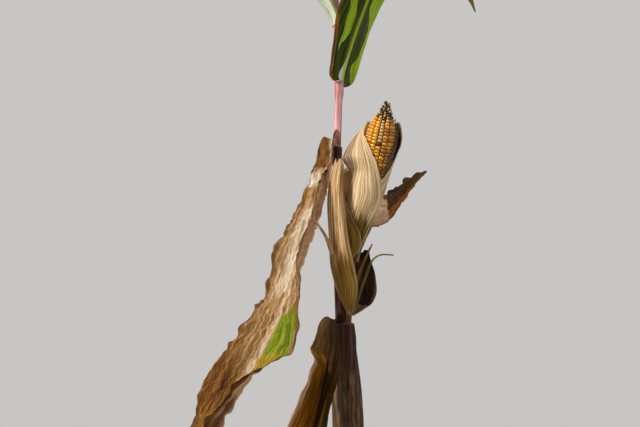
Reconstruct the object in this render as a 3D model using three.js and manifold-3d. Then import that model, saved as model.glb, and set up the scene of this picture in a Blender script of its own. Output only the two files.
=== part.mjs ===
// A maize plant at harvest time, cut flat at the ground: one jointed stem with its prop roots,
// thirteen leaves, each a sheath round the stem and a blade, one ear whose husks have opened
// round a cob of yellow kernels, and a dry tassel.
// Millimetres, +Z up. The origin is the middle of the flat cut under the stem, -Y is the front,
// and a heading of 0 degrees points along +X, one of 90 degrees along +Y.
import * as THREE from "three";
import { mergeVertices } from "three/addons/utils/BufferGeometryUtils.js";
import Module from "manifold-3d";

const wasm = await Module();
wasm.setup();

// Driving dimensions
const GAP = 0.4;
const STEM_TOP = 1935;
const STEM_SIDES = 12;
const NODE_SWELLING = 0.09;
const NODE_HALF_HEIGHT = 6;
const SHEATH_THICKNESS = 1.1;
const SHEATH_OVERLAP = 14;
const SHEATH_SPREAD = 165;
const MOUTH_LENGTH = 30;
const BLADE_LONGEST = 730;
const BLADE_WIDEST = 74;
const CLASP_ROOM = 1.07;
const RIB_SHARE = 0.01;
const TIP_SHARPNESS = 12;
const HUSK_THICKNESS = 1.4;
const HUSK_STEP = 2.7;
const HUSK_ROOM = 0.9;
const KERNEL_ROWS = 16;
const KERNEL_PITCH = 6.4;
const KERNEL_HEIGHT = 1.5;
const TASSEL_TOP = 2265;
const TASSEL_BRANCHES = 8;

// Stations are pairs of a place and the value there. The stem is straight between its stations:
// its radius by height, and the zigzag of its middle line along X.
const STEM_RADIUS = [
  [0, 11.5], [110, 10.5], [608, 9.2], [886, 8], [1000, 6.4], [1060, 4.6], [1150, 3.5], [STEM_TOP, 2.2],
];
const STEM_SWAY = [
  [0, 0], [172, -3], [312, 2], [452, -4], [608, 3], [752, 0], [886, 3], [1046, -1], [1150, -4.5],
  [1271, -4], [1374, 0.5], [1476, 1], [1586, -3.5], [STEM_TOP, -6],
];

// Prop roots: rings of roots by the height where they leave the stem
const ROOT_WHORLS = [
  { height: 30, count: 8, reach: 34, radius: 2.4 },
  { height: 62, count: 7, reach: 62, radius: 2.8 },
];

const vec = (x, y, z) => new THREE.Vector3(x, y, z);
const rad = THREE.MathUtils.degToRad;
const { lerp, smoothstep } = THREE.MathUtils;

// Value of a list of stations at t, in straight lines from one to the next
function between(stations, t) {
  const next = stations.findIndex(([place]) => place > t);
  if (next === 0) return stations[0][1];
  if (next === -1) return stations.at(-1)[1];
  const [t0, a] = stations[next - 1];
  const [t1, b] = stations[next];
  return lerp(a, b, (t - t0) / (t1 - t0));
}

// The same in one smooth curve that turns back only at the stations
function smooth(stations, t) {
  const next = stations.findIndex(([place]) => place > t);
  if (next < 1) return between(stations, t);
  const rise = (i) => {
    const [t0, a] = stations[THREE.MathUtils.clamp(i - 1, 0, stations.length - 2)];
    const [t1, b] = stations[THREE.MathUtils.clamp(i, 1, stations.length - 1)];
    return (b - a) / (t1 - t0);
  };
  const slope = (a, b) => (a * b > 0 ? (2 * a * b) / (a + b) : 0);
  const [t0, a] = stations[next - 1];
  const [t1, b] = stations[next];
  const x = (t - t0) / (t1 - t0);
  const leaving = slope(rise(next - 1), rise(next)) * (t1 - t0);
  const arriving = slope(rise(next), rise(next + 1)) * (t1 - t0);
  return a + (b - a) * x * x * (3 - 2 * x) + x * (1 - x) * (leaving * (1 - x) - arriving * x);
}

// Closed surface through rings of points, each anticlockwise as seen from the last ring's side.
// Every quad is split along one diagonal up to the ring's place turned, and along the other after it.
function loft(rings, turned = Infinity) {
  const n = rings[0].length;
  const faces = [];
  for (let i = 0; i + 1 < rings.length; i++) {
    for (let j = 0; j < n; j++) {
      const a = i * n + j;
      const b = i * n + ((j + 1) % n);
      if (j < turned) faces.push(a, b, b + n, a, b + n, a + n);
      else faces.push(a, b, a + n, b, b + n, a + n);
    }
  }
  const last = (rings.length - 1) * n;
  let low = 0;
  let high = n - 1;
  while (high - low > 1) {
    faces.push(low, high, low + 1, last + low, last + low + 1, last + high);
    low += 1;
    if (high - low > 1) {
      faces.push(low, high, high - 1, last + low, last + high - 1, last + high);
      high -= 1;
    }
  }
  const geometry = new THREE.BufferGeometry();
  const corners = rings.flat().flatMap((p) => [p.x, p.y, p.z]);
  geometry.setAttribute("position", new THREE.Float32BufferAttribute(corners, 3));
  geometry.setIndex(faces);
  return geometry;
}

// A thin organ as a solid. place(u, v) is its middle surface, with u along it and v across it,
// both from 0 to 1, and thick(u, v) is its thickness, which runs out at both long edges. Front and
// back are split alike, so that they stay apart where the organ is twisted.
function sheet(rows, columns, place, thick) {
  const grid = rows.map((u) => Array.from({ length: columns + 1 }, (_, j) => place(u, j / columns)));
  const rings = grid.map((row, i) => {
    const before = grid[Math.max(i - 1, 0)];
    const after = grid[Math.min(i + 1, grid.length - 1)];
    const front = [];
    const back = [];
    row.forEach((p, j) => {
      if (j === 0 || j === columns) {
        front.push(p);
        return;
      }
      const across = row[j + 1].clone().sub(row[j - 1]);
      const forward = after[j].clone().sub(before[j]);
      const normal = across.cross(forward).normalize();
      const half = thick(rows[i], j / columns) / 2;
      front.push(p.clone().addScaledVector(normal, half));
      back.unshift(p.clone().addScaledVector(normal, -half));
    });
    return [...front, ...back];
  });
  return loft(rings, columns);
}
const evenRows = (count) => Array.from({ length: count + 1 }, (_, i) => i / count);

// A tapering limb along a curve. radius(t, j) is its radius at share t, at the j-th side.
function limb(curve, steps, sides, radius) {
  const rings = evenRows(steps).map((t) => {
    const forward = curve.getTangent(t);
    const side = vec(-1, 0.35, 0).projectOnPlane(forward).normalize();
    const other = forward.clone().cross(side);
    return Array.from({ length: sides }, (_, j) => {
      const turn = (j / sides) * 2 * Math.PI;
      return curve
        .getPoint(t)
        .addScaledVector(side, radius(t, j) * Math.cos(turn))
        .addScaledVector(other, radius(t, j) * Math.sin(turn));
    });
  });
  return loft(rings);
}

function through(...points) {
  const corners = points.map(([x, y, z]) => vec(x, y, z));
  return new THREE.CatmullRomCurve3(corners, false, "centripetal");
}

// Several closed geometries joined into one
function fused(geometries) {
  const solids = geometries.map((geometry) => {
    const merged = mergeVertices(geometry);
    const vertProperties = merged.attributes.position.array;
    const triVerts = new Uint32Array(merged.index.array);
    return new wasm.Manifold(new wasm.Mesh({ numProp: 3, vertProperties, triVerts }));
  });
  const { vertProperties, triVerts } = solids.reduce((a, b) => a.add(b)).getMesh();
  const geometry = new THREE.BufferGeometry();
  geometry.setAttribute("position", new THREE.Float32BufferAttribute(vertProperties, 3));
  geometry.setIndex(new THREE.BufferAttribute(triVerts, 1));
  return geometry;
}

// The thirteen leaves from the ground up. node is the height where the sheath leaves the stem and
// collar where the blade leaves the sheath. bend is the midrib's slope by share of its length,
// sweep how far its heading turns, twist its turn about itself, and left and right how far each
// half is folded up, or down if negative, all in degrees. kept is the share of the blade that has
// not broken off, breadth widens it, grip is the length over which its foot lets go of the stem,
// and wave is its margin's ripples.
const hanging = (fall) => [[0, 86], [0.035, 45], [0.1, 12 - fall], [0.5, -fall], [1, -86]];
const arching = (rise, tip) => [
  [0, 86], [0.05, rise + 8], [0.25, rise], [0.6, (rise + tip) / 2], [1, tip],
];
const snapped = (rise, at) => [
  [0, 86], [0.06, rise], [at - 0.07, rise - 6], [at + 0.07, -72], [1, -88],
];
const folded = (angle) => [[0, 0], [0.15, angle], [1, angle]];
const EAR_LEAF = 6;
const LEAVES = [
  {
    node: 76, collar: 150, heading: 168, twist: 120, wave: 3, kept: 0.38,
    bend: hanging(62),
    left: folded(62),
  },
  {
    node: 172, collar: 290, heading: -24, twist: -90, sweep: -14, kept: 0.6,
    bend: hanging(74),
    left: folded(55),
  },
  {
    node: 312, collar: 430, heading: 150, twist: 70, kept: 0.8,
    bend: snapped(38, 0.22),
    left: folded(50),
  },
  {
    node: 452, collar: 585, heading: -12, twist: 60, sweep: -22, wave: 6,
    bend: hanging(70),
    left: folded(-48),
  },
  {
    node: 608, collar: 745, heading: 166, twist: -60, sweep: 16,
    bend: snapped(48, 0.3),
    left: folded(44),
  },
  {
    node: 752, collar: 900, heading: 34, twist: 45, sweep: -12, wave: 6, clasp: 70,
    bend: hanging(60),
    left: folded(-40),
  },
  {
    node: 886, collar: 1056, heading: 235, sweep: -35, clasp: 42, kept: 0.85,
    bend: [[0, 86], [0.009, 16], [0.022, -60], [0.04, -89], [0.1, -70], [0.25, -70], [0.6, -76], [1, -88]],
    left: [[0, 0], [0.04, 20], [0.3, 28], [1, 40]],
    right: [[0, 0], [0.02, 5], [0.04, 35], [0.08, 52], [0.12, 102], [0.16, 95], [0.24, 80], [1, 40]],
  },
  {
    node: 1046, collar: 1164, heading: 38, twist: -30, sweep: 4, kept: 0.34,
    bend: [[0, 86], [0.04, 25], [0.25, 22], [0.5, 50], [0.8, 48], [1, 40]],
    left: folded(58),
  },
  {
    node: 1150, collar: 1285, heading: 247, sweep: -39, clasp: 60,
    bend: [[0, 86], [0.01, 30], [0.022, -60], [0.04, -88], [0.12, -67], [0.32, -62], [0.56, -58], [1, -78]],
    left: [
      [0, 0], [0.04, 45], [0.1, 65], [0.3, 62], [0.36, 48], [0.39, 20], [0.43, 4], [0.47, -14], [0.51, 10],
      [0.54, 27], [0.62, 38], [1, 40],
    ],
    right: [[0, 0], [0.1, -4], [0.17, 0], [0.23, 16], [0.3, 16], [0.36, 8], [0.43, 36], [0.6, 54], [1, 40]],
  },
  {
    node: 1271, collar: 1388, heading: -42, twist: -20, grip: 7, breadth: 1.16, green: true,
    bend: arching(60, -66),
    left: folded(16),
  },
  {
    node: 1374, collar: 1490, heading: 190, sweep: -14, green: true,
    bend: arching(54, -70),
    left: folded(24),
  },
  {
    node: 1476, collar: 1600, heading: 22, sweep: 18, green: true,
    bend: arching(60, -62),
    left: folded(26),
  },
  {
    node: 1586, collar: 1730, heading: 208, twist: -20, green: true,
    bend: arching(68, -40),
    left: folded(30),
  },
];
const PLAIN_LEAF = { sweep: 8, twist: 20, wave: 4, waves: 5, clasp: 98, grip: 18, kept: 1, breadth: 1 };
LEAVES.forEach((leaf, index) => {
  LEAVES[index] = { ...PLAIN_LEAF, right: leaf.left, ...leaf };
});

// The sheath of the ear's leaf stands loose, and bulges round the ear's stalk inside it.
const STALK_HEADING = -61;
const STALK_BULGE = 10.3;
const BULGE_BY_ANGLE = [[0, 1], [15, 0.92], [30, 0.66], [50, 0.32], [90, 0.03], [120, 0]];
const LOOSE_BY_HEIGHT = [[905, 0], [940, 4], [975, 5], [1030, 2], [1060, 0]];

const stemMiddle = (z) => vec(between(STEM_SWAY, z), 0, z);

function ringAt(middle, radius, sides) {
  return Array.from({ length: sides }, (_, j) => {
    const turn = (j / sides) * 2 * Math.PI;
    return middle.clone().add(vec(radius * Math.cos(turn), radius * Math.sin(turn), 0));
  });
}

function propRoot({ height, count, reach, radius }, index) {
  const heading = ((index + height / 100) / count) * 2 * Math.PI;
  const inside = between(STEM_RADIUS, height) - 3 * radius;
  const rings = evenRows(3).map((t) => {
    const out = lerp(reach, inside, t ** 1.35);
    const middle = vec(out * Math.cos(heading), out * Math.sin(heading), height * t);
    return ringAt(middle, radius * (1.2 - 0.2 * t), 5);
  });
  return loft(rings);
}

// The stem with a swollen ring at each node, and the prop roots grown out of its foot
function stem() {
  const rings = new Map();
  for (const [z, radius] of STEM_RADIUS) rings.set(z, radius);
  for (const { node } of LEAVES) {
    rings.set(node - NODE_HALF_HEIGHT, between(STEM_RADIUS, node - NODE_HALF_HEIGHT));
    rings.set(node, between(STEM_RADIUS, node) * (1 + NODE_SWELLING));
    rings.set(node + NODE_HALF_HEIGHT, between(STEM_RADIUS, node + NODE_HALF_HEIGHT));
  }
  const ordered = [...rings].sort(([a], [b]) => a - b);
  const roots = ROOT_WHORLS.flatMap((whorl) =>
    Array.from({ length: whorl.count }, (_, index) => propRoot(whorl, index)),
  );
  return fused([loft(ordered.map(([z, radius]) => ringAt(stemMiddle(z), radius, STEM_SIDES))), ...roots]);
}

// A sheath's inner side clears the stem, and its mouth clears the next sheath inside it.
const FACET = Math.cos(Math.PI / STEM_SIDES);

function sheathRadius(index, z, fromStalk) {
  const snug = (between(STEM_RADIUS, z) * (1 + NODE_SWELLING)) / FACET + GAP;
  const mouth = (snug + SHEATH_THICKNESS) / FACET + GAP;
  const { collar, node } = LEAVES[index];
  const opening = smoothstep(z, collar - MOUTH_LENGTH, collar - SHEATH_OVERLAP);
  const radius = lerp(snug, mouth, opening) + SHEATH_THICKNESS / 2;
  if (index !== EAR_LEAF) return radius;
  const bulge = STALK_BULGE * smooth(BULGE_BY_ANGLE, fromStalk) * smoothstep(z, node + 16, node + 50);
  return radius + bulge + smooth(LOOSE_BY_HEIGHT, z);
}

function sheath(index) {
  const { node, collar, heading } = LEAVES[index];
  const place = (u, v) => {
    const z = lerp(node, collar, u);
    const turn = heading + lerp(-SHEATH_SPREAD, SHEATH_SPREAD, v);
    const fromStalk = Math.abs(THREE.MathUtils.euclideanModulo(turn - STALK_HEADING + 180, 360) - 180);
    const radius = sheathRadius(index, z, fromStalk);
    return stemMiddle(z).add(vec(radius * Math.cos(rad(turn)), radius * Math.sin(rad(turn)), 0));
  };
  const heights = index === EAR_LEAF ? [node, 904, 920, 942, 975, 1000] : [node, (node + collar) / 2];
  const rows = [...heights, collar - MOUTH_LENGTH, collar - SHEATH_OVERLAP, collar].map(
    (z) => (z - node) / (collar - node),
  );
  return sheet(rows, index === EAR_LEAF ? 22 : 11, place, () => SHEATH_THICKNESS);
}

// Blade size by the leaf's place on the stem
const bladeLength = (index) =>
  BLADE_LONGEST * LEAVES[index].kept * (1 - 0.5 * ((index - 5.5) / 6.5) ** 2);
const bladeWidth = (index) =>
  BLADE_WIDEST * LEAVES[index].breadth * (1 - 0.4 * ((index - 7.5) / 7.5) ** 2);
const bladeTaper = (u) => (0.5 + 0.5 * smoothstep(u, 0, 0.22)) * (1 - u ** 2.3) ** 0.85;

// The midrib's points and directions, in equal steps from the sheath's mouth
const MIDRIB_STEPS = 240;

function midrib(index) {
  const { collar, bend, heading, sweep, twist } = LEAVES[index];
  const foot = CLASP_ROOM * sheathRadius(index, collar, 180);
  const at = stemMiddle(collar);
  at.add(vec(foot * Math.cos(rad(heading)), foot * Math.sin(rad(heading)), 1.3 * GAP));
  return evenRows(MIDRIB_STEPS).map((u) => {
    const rise = rad(smooth(bend, u));
    const turn = rad(heading + sweep * smoothstep(u, 0, 1));
    const forward = vec(Math.cos(turn) * Math.cos(rise), Math.sin(turn) * Math.cos(rise), Math.sin(rise));
    const side = vec(-Math.sin(turn), Math.cos(turn), 0);
    side.applyAxisAngle(forward, rad(twist * smoothstep(u, 0.1, 1)));
    const frame = { at: at.clone(), side, upper: forward.clone().cross(side) };
    at.addScaledVector(forward, bladeLength(index) / MIDRIB_STEPS);
    return frame;
  });
}

// Point of a blade at share u of its length and at v from -1, its right margin, to 1, its left
function bladePoint(index, frames, u, v) {
  const { left, right, wave, waves, clasp, grip, collar } = LEAVES[index];
  const { at, side, upper } = frames[Math.round(u * MIDRIB_STEPS)];
  const foot = CLASP_ROOM * sheathRadius(index, collar, 180);
  const atFoot = Math.exp((-u * bladeLength(index)) / grip);
  const distance = Math.abs(v) * lerp((bladeWidth(index) / 2) * bladeTaper(u), foot * rad(clasp), atFoot);
  const fold = rad(smooth(v > 0 ? left : right, u));
  const curl = atFoot / foot + 1e-5;
  const outward = (Math.sin(fold + curl * distance) - Math.sin(fold)) / curl;
  const raised = (Math.cos(fold) - Math.cos(fold + curl * distance)) / curl;
  const rippled = wave * v * v * bladeTaper(u) * (1 - atFoot);
  const ripple = rippled * Math.sin(2 * Math.PI * waves * u + 2 * v);
  return at
    .clone()
    .addScaledVector(side, Math.sign(v) * outward)
    .addScaledVector(upper, raised + ripple);
}

function blade(index) {
  const frames = midrib(index);
  const rib = RIB_SHARE * bladeLength(index);
  const thick = (u, v) => {
    const grown = rib * smoothstep(u, 0.04, 0.12) * (1 - 0.75 * u);
    const pointed = Math.min(1, TIP_SHARPNESS * (1 - u));
    return pointed * Math.max(SHEATH_THICKNESS, v === 0.5 ? grown : 0.45 * grown);
  };
  const rows = evenRows(18).map((t) => Math.min(t ** 1.7, 0.995));
  return sheet(rows, 4, (u, v) => bladePoint(index, frames, u, 1 - 2 * v), thick);
}

// The ear leans to the front and right. Distances along it run from the sheath's mouth, past the
// bare stalk, to the cob's tip, and turns are degrees from its front towards +X.
const EAR_POINTS = [
  [6.7, -14, 1069], [13, -31, 1134], [28.5, -45, 1197], [42, -59, 1250], [54.2, -73, 1304.4],
];
const earLine = through(...EAR_POINTS);
const EAR_LENGTH = earLine.getLength();
const COB_START = 66;
const COB_RADIUS = [
  [44, 3.3], [66, 4.5], [80, 7.8], [100, 12.5], [125, 16], [150, 17.8], [185, 18.2], [205, 17.2],
  [218, 14.8], [230, 10.5], [240, 6], [250, 2.6],
];

function earPoint(distance, radius, turn) {
  const t = THREE.MathUtils.clamp(distance / EAR_LENGTH, 0, 1);
  const forward = earLine.getTangentAt(t);
  const front = vec(0, -1, 0).projectOnPlane(forward).normalize();
  return earLine
    .getPointAt(t)
    .addScaledVector(forward, distance - t * EAR_LENGTH)
    .addScaledVector(front, radius * Math.cos(rad(turn)))
    .addScaledVector(forward.clone().cross(front), radius * Math.sin(rad(turn)));
}

// The ear's stalk rises beside the stem inside the sheath and ends at the cob's foot.
const STALK_RADIUS = 3.5;

function stalk() {
  const beside = (z, distance) => {
    const turn = rad(STALK_HEADING);
    return [stemMiddle(z).x + distance * Math.cos(turn), distance * Math.sin(turn), z];
  };
  const along = (distance) => earPoint(distance, 0, 0).toArray();
  const line = through(
    beside(945, 13.4),
    beside(1000, 12.8),
    beside(1046, 12.8),
    along(0),
    along(34),
    along(COB_START - 2 * GAP),
  );
  return limb(line, 14, 8, (t) => STALK_RADIUS * (1 - 0.12 * t));
}

// The cob: kernels in staggered rows from its smooth foot up to the bare tip
function cob() {
  const sides = 2 * KERNEL_ROWS;
  const steps = Math.floor((EAR_LENGTH - 112) / (KERNEL_PITCH / 2));
  const places = [COB_START, 88, ...Array.from({ length: steps }, (_, i) => 112 + (i * KERNEL_PITCH) / 2)];
  const rings = [...places, EAR_LENGTH].map((s, i, all) =>
    Array.from({ length: sides }, (_, j) => {
      const kernelled = i > 1 && i < all.length - 1;
      const crest = kernelled && j % 2 === 0 && (i + j / 2) % 2 === 0;
      const relief = KERNEL_HEIGHT * Math.min(1, smooth(COB_RADIUS, s) / 14);
      return earPoint(s, smooth(COB_RADIUS, s) - (crest ? 0 : relief), (j / sides) * 360);
    }),
  );
  return loft(rings);
}

// Husks by layer from the inside out. from and to are the turns of the two margins by distance
// along the ear, and liftFrom and liftTo how far those margins stand off the ear.
const FLAT = [[0, 0]];
const HUSKS = {
  husk_right: {
    layer: 0, start: 60, end: 227, columns: 10,
    from: [[60, -50], [100, -20], [125, 6], [146, 32], [157, 50], [185, 78], [205, 84], [227, 98]],
    to: [[60, 205], [150, 196], [200, 176], [227, 150]],
    liftFrom: [[150, 0], [185, 3.5], [202, 6.5], [227, 6]],
    liftTo: [[200, 0], [227, 4]],
  },
  husk_back: {
    layer: 1, start: 54, end: 224, columns: 7,
    from: [[54, 120], [150, 126], [200, 160], [224, 204]],
    to: [[54, 202], [136, 204], [165, 232], [224, 242]],
    liftFrom: FLAT,
    liftTo: [[136, 0], [180, 1], [224, 4]],
  },
  husk_left: {
    layer: 1, start: 54, end: 214, columns: 11,
    from: [[54, -148], [130, -144], [152, -112], [160, -98], [214, -97]],
    to: [
      [54, 40], [100, 50], [125, 58], [146, 34], [159, 15], [168, 2], [179, -17], [193, -43], [203, -70],
      [214, -88],
    ],
    liftFrom: [[130, 0], [152, 1], [160, 8], [170, 18], [197, 11], [214, 4]],
    liftTo: FLAT,
  },
  husk_outer: {
    layer: 2, start: 48, end: 164, columns: 12,
    from: [[48, -196], [120, -190], [138, -160], [164, -136]],
    to: [[48, -40], [60, 4], [70, 30], [86, 8], [101, -34], [120, -66], [134, -84], [150, -96], [164, -118]],
    liftFrom: [[120, 0], [164, 6]],
    liftTo: [[100, 0], [130, 4], [150, 9], [164, 11]],
  },
};

// Middle radius of a husk of the given layer, and its point at u along it and v across it
const huskRadius = (layer, s) =>
  smooth(COB_RADIUS, s) + HUSK_ROOM + HUSK_THICKNESS / 2 + layer * HUSK_STEP;

function huskPoint({ layer, start, end, from, to, liftFrom, liftTo }, u, v) {
  const s = lerp(start, end, u);
  const lift = smooth(liftFrom, s) * (1 - v) ** 1.6 + smooth(liftTo, s) * v ** 1.6;
  return earPoint(s, huskRadius(layer, s) + lift, lerp(smooth(from, s), smooth(to, s), v));
}

const husk = (shape) =>
  sheet(evenRows(12), shape.columns, (u, v) => huskPoint(shape, u, v), () => HUSK_THICKNESS);

// A husk that has come loose at the front and rolled into a spindle round its own line
const ROLL_LINE = through(
  [6.9, -19, 1066], [6, -31, 1071], [4.1, -42, 1084.5], [-2.4, -55, 1113.6], [-7.4, -60, 1161],
  [-8.9, -61.5, 1190], [-2.6, -63, 1238],
);
const ROLL_RADIUS = [
  [0, 2.4], [0.06, 5.2], [0.13, 9.4], [0.21, 12], [0.3, 12.4], [0.45, 10.4], [0.6, 9.4], [0.8, 7],
  [0.92, 5.4], [1, 2.8],
];
const ROLL_FROM = 55;
const ROLL_TO = -250;

function rolledHusk() {
  const place = (u, v) => {
    const forward = ROLL_LINE.getTangentAt(u);
    const front = vec(0, -1, 0).projectOnPlane(forward).normalize();
    const turn = rad(lerp(ROLL_FROM, ROLL_TO, v));
    return ROLL_LINE.getPointAt(u)
      .addScaledVector(front, smooth(ROLL_RADIUS, u) * Math.cos(turn))
      .addScaledVector(forward.clone().cross(front), smooth(ROLL_RADIUS, u) * Math.sin(turn));
  };
  return sheet(evenRows(13), 10, place, (u) => HUSK_THICKNESS * (1 - 0.5 * u));
}

// A dark outer husk that has opened into a cup low on the ear's right side
const CUP = {
  start: -4, end: 70, middle: 108, backShare: 0.7,
  radius: [[-4, 5.1], [4, 17], [12, 27], [24, 31], [42, 27.5], [64, 18], [70, 16.5]],
  spread: [[-4, 26], [10, 52], [24, 57], [44, 48], [60, 38], [70, 18]],
};

function cupHusk() {
  const place = (u, v) => {
    const s = lerp(CUP.start, CUP.end, u);
    const radius = smooth(CUP.radius, s) * lerp(1, CUP.backShare, v);
    return earPoint(s, radius, CUP.middle + lerp(-1, 1, v) * smooth(CUP.spread, s));
  };
  return sheet(evenRows(9), 6, place, () => HUSK_THICKNESS);
}

// Narrow dry husk strips that curl away, each flattened along a curve
const STRIPS = {
  husk_strip_left: {
    width: 2.6,
    line: through([-12.7, -65.9, 1118], [-20.4, -82, 1132.5], [-32.2, -92, 1147.5]),
  },
  husk_strip_near: {
    width: 2.2,
    line: through([11.35, -22.3, 1086], [20.8, -37, 1113.8], [32, -43, 1137]),
  },
  husk_strip_right: {
    width: 2,
    line: through(
      [9.9, -16.8, 1064],
      [22.9, -37, 1098],
      [32.5, -42, 1119.6],
      [41, -43, 1124.5],
      [54.7, -44, 1124],
    ),
  },
};

const strip = ({ line, width }) =>
  limb(line, 7, 6, (t, j) => (j % 3 === 0 ? width : 0.6 * width) * (1 - 0.6 * t));

// Dry silks between the cob and the open right husk
const SILK_STANDS = [[172, 1.4], [200, 2], [226, 2.5], [246, 6]];

function silk() {
  const place = (u, v) => {
    const s = lerp(172, 246, u);
    const radius = smooth(COB_RADIUS, s) + between(SILK_STANDS, s);
    return earPoint(s, radius, smooth(HUSKS.husk_right.from, s) + lerp(-8, 22, v));
  };
  return sheet(evenRows(9), 4, place, (u) => 1.4 * Math.sin(Math.PI * (0.15 + 0.75 * u)));
}

// The tassel: a middle spike and side branches, each knotted with spikelets
function spike(points, radius, knots) {
  return limb(through(...points), 2 * knots, 4, (t, j) => {
    const knotted = Math.round(t * 2 * knots) % 2 === 1 && t > 0.12;
    return (radius + (knotted ? 1.5 : 0)) * (1 - 0.5 * t) * (j % 2 ? 1 : 0.8);
  });
}

function tassel() {
  const { x } = stemMiddle(STEM_TOP);
  const foot = STEM_TOP + GAP;
  const middle = [
    [x, 0, foot], [x - 3, 0, foot + 120], [x + 2, -4, TASSEL_TOP - 90], [x + 8, -8, TASSEL_TOP],
  ];
  const branches = Array.from({ length: TASSEL_BRANCHES }, (_, i) => {
    const heading = i * 2.4 + 0.5;
    const out = (share, rise) => {
      const reach = share * (95 - 5 * i);
      const height = foot + 18 + 13 * i + rise * (175 - 5 * i);
      return [x - 0.5 + reach * Math.cos(heading), reach * Math.sin(heading), height];
    };
    return spike([out(0, 0), out(0.28, 0.3), out(0.66, 0.68), out(1, 0.98)], 1.5, 8);
  });
  return fused([spike(middle, 2.2, 13), ...branches]);
}

// Colour and roughness of each finish
const FINISHES = {
  stem: [0x7a5a34, 0.5],
  sheath_dry: [0x7d6246, 0.7],
  sheath_pink: [0xb5707a, 0.55],
  blade_dry: [0xb59a72, 0.8],
  blade_green: [0x5d8a2c, 0.5],
  husk: [0xcdb488, 0.75],
  husk_brown: [0x9a7440, 0.75],
  husk_dark: [0x3c2a2a, 0.8],
  kernels: [0xe39a28, 0.35],
  silk: [0x5a3a26, 0.9],
  tassel: [0xb9a27c, 0.85],
};
const materials = Object.fromEntries(
  Object.entries(FINISHES).map(([name, [color, roughness]]) => [
    name,
    new THREE.MeshStandardMaterial({ name, color, roughness, metalness: 0 }),
  ]),
);

const plant = new THREE.Group();

function add(name, geometry, finish) {
  const mesh = new THREE.Mesh(geometry, materials[finish]);
  mesh.name = name;
  plant.add(mesh);
}

add("stem", stem(), "stem");
LEAVES.forEach(({ green }, index) => {
  const number = String(index + 1).padStart(2, "0");
  add(`leaf_${number}_sheath`, sheath(index), green ? "sheath_pink" : "sheath_dry");
  add(`leaf_${number}_blade`, blade(index), green ? "blade_green" : "blade_dry");
});
add("ear_stalk", stalk(), "sheath_dry");
add("ear_cob", cob(), "kernels");
for (const [name, shape] of Object.entries(HUSKS)) {
  add(name, husk(shape), name === "husk_outer" ? "husk_brown" : "husk");
}
add("husk_rolled", rolledHusk(), "husk_brown");
add("husk_cup", cupHusk(), "husk_dark");
for (const [name, shape] of Object.entries(STRIPS)) add(name, strip(shape), "husk");
add("silk", silk(), "silk");
add("tassel", tassel(), "tassel");

export default plant;
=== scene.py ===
# The looks of a maize plant at harvest time: blades, sheaths, husks, kernels, silk and tassel as fine
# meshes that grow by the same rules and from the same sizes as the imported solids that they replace.
# Sizes are in millimetres, and become metres when a mesh is made. A heading of 0 degrees points
# along +X, and one of 90 degrees along +Y. -Y is the front.
import math

import bpy
import numpy as np
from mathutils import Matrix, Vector


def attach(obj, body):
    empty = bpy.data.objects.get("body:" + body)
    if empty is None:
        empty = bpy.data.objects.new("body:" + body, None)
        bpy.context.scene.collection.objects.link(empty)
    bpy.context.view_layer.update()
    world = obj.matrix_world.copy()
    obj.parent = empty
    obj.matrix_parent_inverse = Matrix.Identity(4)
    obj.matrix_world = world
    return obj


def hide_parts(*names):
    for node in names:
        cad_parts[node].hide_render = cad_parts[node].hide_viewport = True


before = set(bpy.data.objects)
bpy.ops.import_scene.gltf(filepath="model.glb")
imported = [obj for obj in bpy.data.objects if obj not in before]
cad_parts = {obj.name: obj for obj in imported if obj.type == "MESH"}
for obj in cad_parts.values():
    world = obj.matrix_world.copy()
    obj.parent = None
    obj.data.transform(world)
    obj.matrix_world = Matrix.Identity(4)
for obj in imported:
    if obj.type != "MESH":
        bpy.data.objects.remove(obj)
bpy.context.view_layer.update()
scene = bpy.context.scene

MM = 0.001

# The camera: a wide lens held at chest height and tipped up at the ear
CAMERA_LENS = 28.0
CAMERA_SENSOR = 36.0
CAMERA_PLACE = (-0.0255, -0.56, 0.949)
CAMERA_TIP = 23.5

# Sizes shared with the solids
GAP = 0.4
STEM_TOP = 1935
STEM_SIDES = 12
NODE_SWELLING = 0.09
NODE_HALF_HEIGHT = 6
SHEATH_THICKNESS = 1.1
SHEATH_OVERLAP = 14
SHEATH_SPREAD = 165
MOUTH_LENGTH = 30
BLADE_LONGEST = 730
BLADE_WIDEST = 74
CLASP_ROOM = 1.07
HUSK_THICKNESS = 1.4
HUSK_STEP = 2.7
HUSK_ROOM = 0.9
KERNEL_ROWS = 16
TASSEL_TOP = 2265
TASSEL_BRANCHES = 8
STEM_RADIUS = [
    (0, 11.5), (110, 10.5), (608, 9.2), (886, 8), (1000, 6.4), (1060, 4.6), (1150, 3.5), (STEM_TOP, 2.2),
]
STEM_SWAY = [
    (0, 0), (172, -3), (312, 2), (452, -4), (608, 3), (752, 0), (886, 3), (1046, -1), (1150, -4.5),
    (1271, -4), (1374, 0.5), (1476, 1), (1586, -3.5), (STEM_TOP, -6),
]


def hanging(droop):
    return [(0, 86), (0.035, 45), (0.1, 12 - droop), (0.5, -droop), (1, -86)]


def arching(rise, tip):
    return [(0, 86), (0.05, rise + 8), (0.25, rise), (0.6, (rise + tip) / 2), (1, tip)]


def snapped(rise, at):
    return [(0, 86), (0.06, rise), (at - 0.07, rise - 6), (at + 0.07, -72), (1, -88)]


def folded(angle):
    return [(0, 0), (0.15, angle), (1, angle)]


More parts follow.
